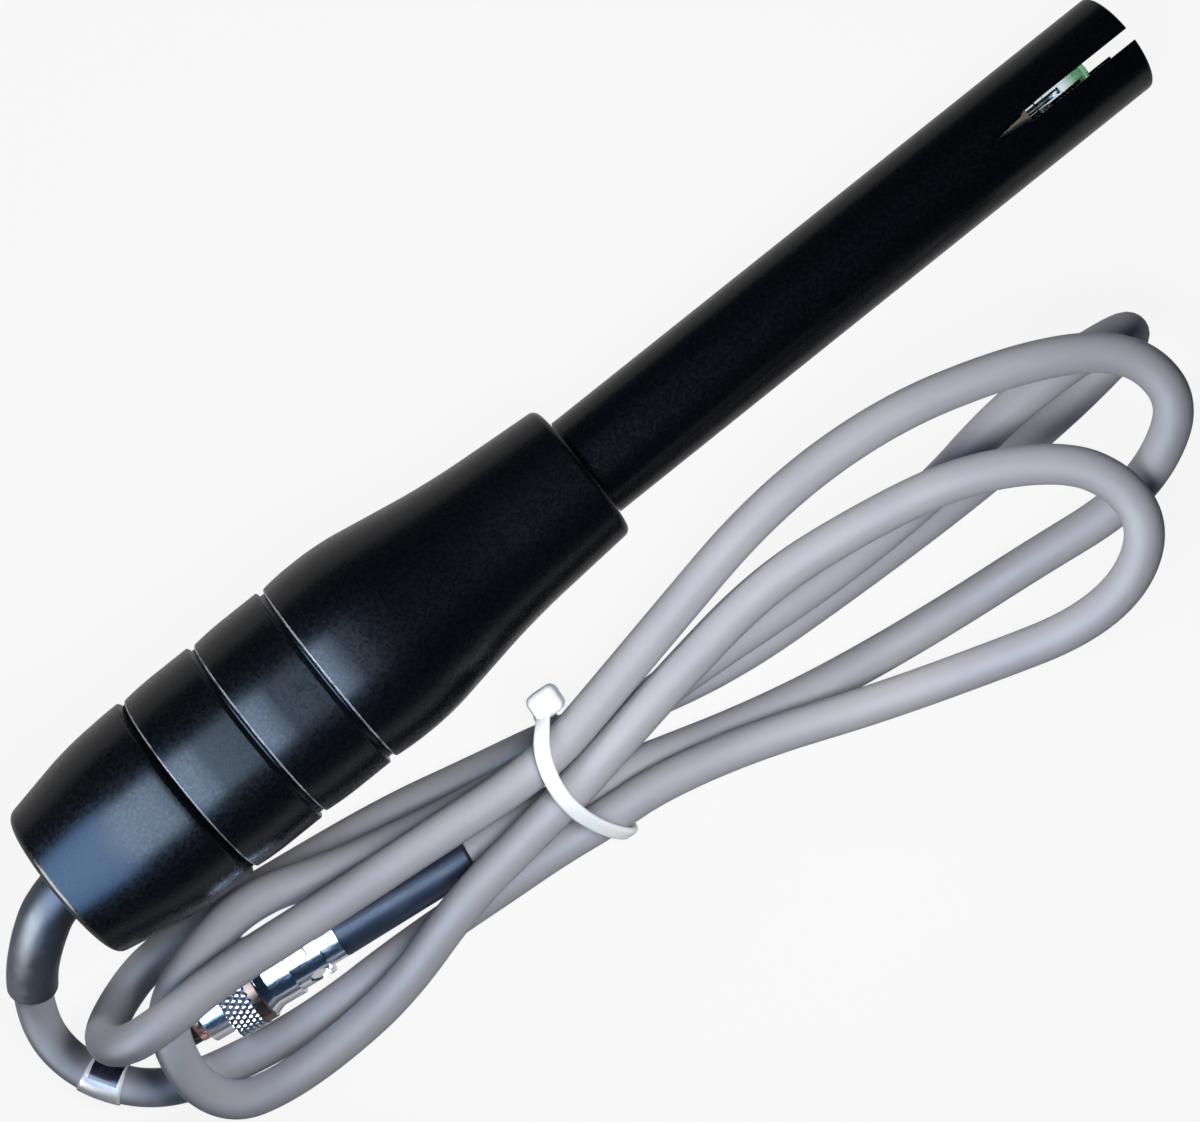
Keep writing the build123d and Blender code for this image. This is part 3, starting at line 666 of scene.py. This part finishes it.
# Places across, up and through: the upper side bulges along the strands
TIE_LOOP = [
    (-7.3, -2.2, 0),
    (-6.8, -5.8, 0),
    (0.6, -5.25, 0),
    (7.2, -5.45, 0),
    (9.6, -0.8, -1.4),
    (6.5, 4.8, 0.0),
    (1.7, 8.4, 1.0),
    (-3.9, 10.2, -0.2),
    (-7.3, 8.2, -2.6),
    (-6.9, 3.0, -1.2),
]


def strap(name, route, cyclic, finish):
    """A flat strap with rounded edges along a smooth line in the tie's plane."""
    data = bpy.data.curves.new(name, "CURVE")
    data.dimensions = "3D"
    data.twist_mode = "Z_UP"
    data.extrude = (TIE_WIDTH - TIE_THICKNESS) / 2
    data.bevel_depth = TIE_THICKNESS / 2
    data.bevel_resolution = 4
    data.resolution_u = 16
    data.use_fill_caps = True
    spline = data.splines.new("NURBS")
    spline.points.add(len(route) - 1)
    for point, (across, up, through) in zip(spline.points, route):
        point.co = (across * MM, up * MM, through * MM, 1)
    spline.order_u = 3
    spline.use_cyclic_u = cyclic
    spline.use_endpoint_u = not cyclic
    line = bpy.data.objects.new(name + "_line", data)
    mesh = bpy.data.meshes.new_from_object(line)
    bpy.data.objects.remove(line)
    mesh.transform(tie_frame)
    mesh.materials.append(finish)
    mesh.shade_smooth()
    piece = bpy.data.objects.new(name, mesh)
    bpy.context.collection.objects.link(piece)
    return piece


tie_strap = strap("tie_strap", TIE_LOOP, True, tie_nylon)
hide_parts("cable_tie")
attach(tie_strap, "electrode")

TIE_TAIL = [(-8.2, 5.0, -3.2), (-8.5, 3.6, -3.2), (-8.6, 2.4, -3.2), (-8.6, 1.4, -3.2)]
tie_tail = strap("tie_tail", TIE_TAIL, False, tie_nylon)
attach(tie_tail, "electrode")

TIE_HEAD_SIZE = (3.1, 3.4, 3.5)
TIE_HEAD_PLACE = (-8.2, 6.4, -3.2)
TIE_HEAD_ROUNDING = 0.9 * MM
form = bmesh.new()
bmesh.ops.create_cube(form, size=MM)
bmesh.ops.scale(form, vec=TIE_HEAD_SIZE, verts=form.verts)
bmesh.ops.bevel(
    form,
    geom=form.edges[:],
    offset=TIE_HEAD_ROUNDING,
    offset_type="OFFSET",
    segments=5,
    profile=0.5,
    affect="EDGES",
    material=-1,
)
bmesh.ops.translate(form, vec=Vector(TIE_HEAD_PLACE) * MM, verts=form.verts)
form.transform(tie_frame)
tie_head = finished("tie_head", form, tie_nylon)
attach(tie_head, "electrode")


# Coupling ring: its knurl is two sets of leaning V grooves

# The plug's own frame: x runs to the boot from the back of the coupling ring, z up
PLUG_PLACE = (-0.064, -0.0206, 0.0052)
PLUG_HEADING = math.radians(-8.5)
plug_frame = Matrix.Translation(PLUG_PLACE) @ Matrix.Rotation(PLUG_HEADING, 4, "Z")
RING_STEPS = 400

# The knurl, in millimetres, with the grooves of one set counted round it
KNURL_START = -4.3
KNURL_END = -1.2
KNURL_RADIUS = 5.2
KNURL_ROWS = 40
KNURL_COUNT = 40
KNURL_LEAN = math.radians(35)
KNURL_DEPTH = 0.26
# Radii as near as this are taken for the same
SAME_RADIUS = 0.01
# Deeper than this a groove is painted dark as painted shade, and beyond this radius the plain band
# is painted dark brown as painted shade
SHADE_DEPTH = 0.15
BAND_INSIDE = 4.9
# The ring's finishes, by their place in its list of materials
SHADED_GROOVE = 1
SHADED_BAND = 2
knurl_rows = [
    (KNURL_START + (KNURL_END - KNURL_START) * row / KNURL_ROWS, KNURL_RADIUS, 0)
    for row in range(KNURL_ROWS + 1)
]
form = spun(
    [
        (-7.2, 3.38, 0),
        (-7.2, 4.0, 0.15),
        (KNURL_START, 4.0, 0.12),
        *knurl_rows,
        (-1.15, 5.0, 0),
        (-1.05, 5.0, 0),
        (0, 5.0, 0.15),
        (0, 2.98, 0),
        (-4.72, 2.98, 0),
        (-4.72, 3.38, 0),
    ],
    RING_STEPS,
)


def knurl_cut(along, angle):
    """How deep the knurl is at a place along the ring and round it."""
    depth = 0
    for lean in (-KNURL_LEAN, KNURL_LEAN):
        around = angle * KNURL_RADIUS - (along - KNURL_START) * math.tan(lean)
        pitch = math.tau * KNURL_RADIUS / KNURL_COUNT
        off = abs((around + pitch / 2) % pitch - pitch / 2) * math.cos(lean)
        depth = max(depth, KNURL_DEPTH - off)
    return depth


for vertex in form.verts:
    along = vertex.co.x / MM
    radius = math.hypot(vertex.co.y, vertex.co.z) / MM
    if radius > KNURL_RADIUS - SAME_RADIUS:
        less = 1 - knurl_cut(along, math.atan2(vertex.co.z, vertex.co.y)) / radius
        vertex.co.y *= less
        vertex.co.z *= less
# Painted shade: the knurl's deep groove faces and the plain band behind it get dark finishes where
# shade falls
for face in form.faces:
    place = face.calc_center_median() / MM
    radius = math.hypot(place.y, place.z)
    depth = KNURL_RADIUS - radius
    if place.x > KNURL_END and radius > BAND_INSIDE:
        face.material_index = SHADED_BAND
    elif place.x > KNURL_START and SHADE_DEPTH < depth < KNURL_DEPTH + SAME_RADIUS:
        face.material_index = SHADED_GROOVE
form.transform(plug_frame)
knurled_ring = finished("knurled_ring", form, ring_chrome)
knurled_ring.data.materials.append(groove_painted_shade)
knurled_ring.data.materials.append(band_painted_shade)
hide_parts("coupling_ring")
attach(knurled_ring, "ring")


# Floor, light and camera


def seen_rays(tree, *kinds):
    """One for rays of the kinds that should see the plain background, else zero."""
    ray = tree.nodes.new("ShaderNodeLightPath")
    seen = ray.outputs[kinds[0]]
    for kind in kinds[1:]:
        seen = math_node(tree, "MAXIMUM", seen, ray.outputs[kind])
    return seen


FLOOR_HALF_SIDE = 0.4
FLOOR_PLACE = (0, -0.02, -0.0002)
PAPER_GREY = (0.5, 0.5, 0.5, 1)
WHITE = (1, 1, 1, 1)
# How much of the floor is plain white to the camera and to mirroring surfaces
WHITE_SEEN = 0.9
WHITE_MIRRORED = 0.3


def add_floor():
    """A pale floor. Seen by the camera it is mostly its own white, so that only a
    faint shadow shows."""
    mesh = bpy.data.meshes.new("floor")
    form = bmesh.new()
    bmesh.ops.create_grid(form, x_segments=1, y_segments=1, size=FLOOR_HALF_SIDE)
    form.to_mesh(mesh)
    form.free()
    floor = bpy.data.objects.new("floor", mesh)
    floor.location = FLOOR_PLACE
    bpy.context.collection.objects.link(floor)
    paper = bpy.data.materials.new("floor_paper")
    paper.use_nodes = True
    tree = paper.node_tree
    tree.nodes.clear()
    matt = tree.nodes.new("ShaderNodeBsdfDiffuse")
    matt.inputs["Color"].default_value = PAPER_GREY
    glow = tree.nodes.new("ShaderNodeEmission")
    glow.inputs["Color"].default_value = WHITE
    mix = tree.nodes.new("ShaderNodeMixShader")
    out = tree.nodes.new("ShaderNodeOutputMaterial")
    straight = seen_rays(tree, "Is Camera Ray", "Is Transmission Ray")
    seen = math_node(tree, "MULTIPLY", straight, WHITE_SEEN)
    mirrored = seen_rays(tree, "Is Glossy Ray")
    share = math_node(tree, "MULTIPLY_ADD", mirrored, WHITE_MIRRORED, seen)
    tree.links.new(share, mix.inputs["Fac"])
    tree.links.new(matt.outputs["BSDF"], mix.inputs[1])
    tree.links.new(glow.outputs["Emission"], mix.inputs[2])
    tree.links.new(mix.outputs["Shader"], out.inputs["Surface"])
    mesh.materials.append(paper)


def area_light(name, place, turn, power, color):
    """An area light that the camera doesn't see."""
    data = bpy.data.lights.new(name, "AREA")
    data.energy = power
    data.color = color
    light = bpy.data.objects.new(name, data)
    light.location = place
    light.rotation_euler = turn
    light.visible_camera = False
    bpy.context.collection.objects.link(light)
    return light


def add_lamp(name, place, target, size, power, color):
    """A soft round lamp that lights the object and isn't mirrored in it."""
    way = Vector(target) - Vector(place)
    lamp = area_light(name, place, way.to_track_quat("-Z", "Y").to_euler(), power, color)
    lamp.data.shape = "DISK"
    lamp.data.size = size
    lamp.visible_glossy = False


def add_card(name, place, target, wide, tall, power, color):
    """A bright card that is only mirrored in the glossy surfaces. Its width runs
    along y."""
    way = (Vector(target) - Vector(place)).normalized()
    side = Vector((0, 1, 0))
    turn = Matrix((side, side.cross(way), -way)).transposed().to_euler()
    card = area_light(name, place, turn, power, color)
    card.data.shape = "RECTANGLE"
    card.data.size = wide
    card.data.size_y = tall
    card.visible_diffuse = False
    card.visible_transmission = False


def set_world():
    """A dim blue tent, darker overhead, and white to the camera and through glass."""
    world = bpy.data.worlds.new("tent")
    bpy.context.scene.world = world
    world.use_nodes = True
    tree = world.node_tree
    tree.nodes.clear()
    place = tree.nodes.new("ShaderNodeTexCoord")
    split = tree.nodes.new("ShaderNodeSeparateXYZ")
    ramp = tree.nodes.new("ShaderNodeValToRGB")
    ramp.color_ramp.elements[0].position = 0.0
    ramp.color_ramp.elements[0].color = (0.02, 0.042, 0.085, 1)
    ramp.color_ramp.elements[1].position = 0.6
    ramp.color_ramp.elements[1].color = (0.006, 0.013, 0.027, 1)
    tent = tree.nodes.new("ShaderNodeBackground")
    white = tree.nodes.new("ShaderNodeBackground")
    mix = tree.nodes.new("ShaderNodeMixShader")
    out = tree.nodes.new("ShaderNodeOutputWorld")
    tree.links.new(place.outputs["Generated"], split.inputs["Vector"])
    tree.links.new(split.outputs["Z"], ramp.inputs["Fac"])
    tree.links.new(ramp.outputs["Color"], tent.inputs["Color"])
    white.inputs["Color"].default_value = WHITE
    tree.links.new(seen_rays(tree, "Is Camera Ray", "Is Transmission Ray"), mix.inputs["Fac"])
    tree.links.new(tent.outputs["Background"], mix.inputs[1])
    tree.links.new(white.outputs["Background"], mix.inputs[2])
    tree.links.new(mix.outputs["Shader"], out.inputs["Surface"])


add_floor()
set_world()
# A near lamp over the hank and a low one behind the probe light the object. The
# cards are what its black and its metal mirror.
add_lamp("near", (-0.01, -0.034, 0.11), (-0.01, -0.034, 0), 0.05, 0.125, (1, 0.985, 0.98))
add_lamp("key", (-0.06, 0.34, 0.2), (0, -0.02, 0), 0.12, 0.75, (1, 0.98, 0.97))
add_card("cap_card", (-0.26, 0, 0.33), (-0.06, 0, 0.02), 0.56, 0.12, 2.6, (0.25, 0.5, 1.0))
add_card("band_card", (-0.135, 0, 0.36), (-0.04, 0, 0.02), 0.44, 0.12, 2.8, (0.5, 0.66, 0.88))
add_card("rear_card", (-0.38, 0.02, 0.16), (-0.05, 0, 0.02), 0.3, 0.2, 5.0, (0.85, 0.93, 1.0))

# The camera looks straight down, turned so that the probe runs from the lower
# left to the upper right
CAMERA_PLACE = (-0.0066, -0.00875, 0.315)
CAMERA_TURN = math.radians(-38.74)
SENSOR_WIDTH = 36
LENS = 85.29
NEAREST_SEEN = 0.01
camera_data = bpy.data.cameras.new("camera")
camera_data.sensor_width = SENSOR_WIDTH
camera_data.lens = LENS
camera_data.clip_start = NEAREST_SEEN
camera = bpy.data.objects.new("camera", camera_data)
camera.location = CAMERA_PLACE
camera.rotation_euler = (0, 0, CAMERA_TURN)
bpy.context.collection.objects.link(camera)
bpy.context.scene.camera = camera
bpy.context.scene.view_settings.view_transform = "Standard"
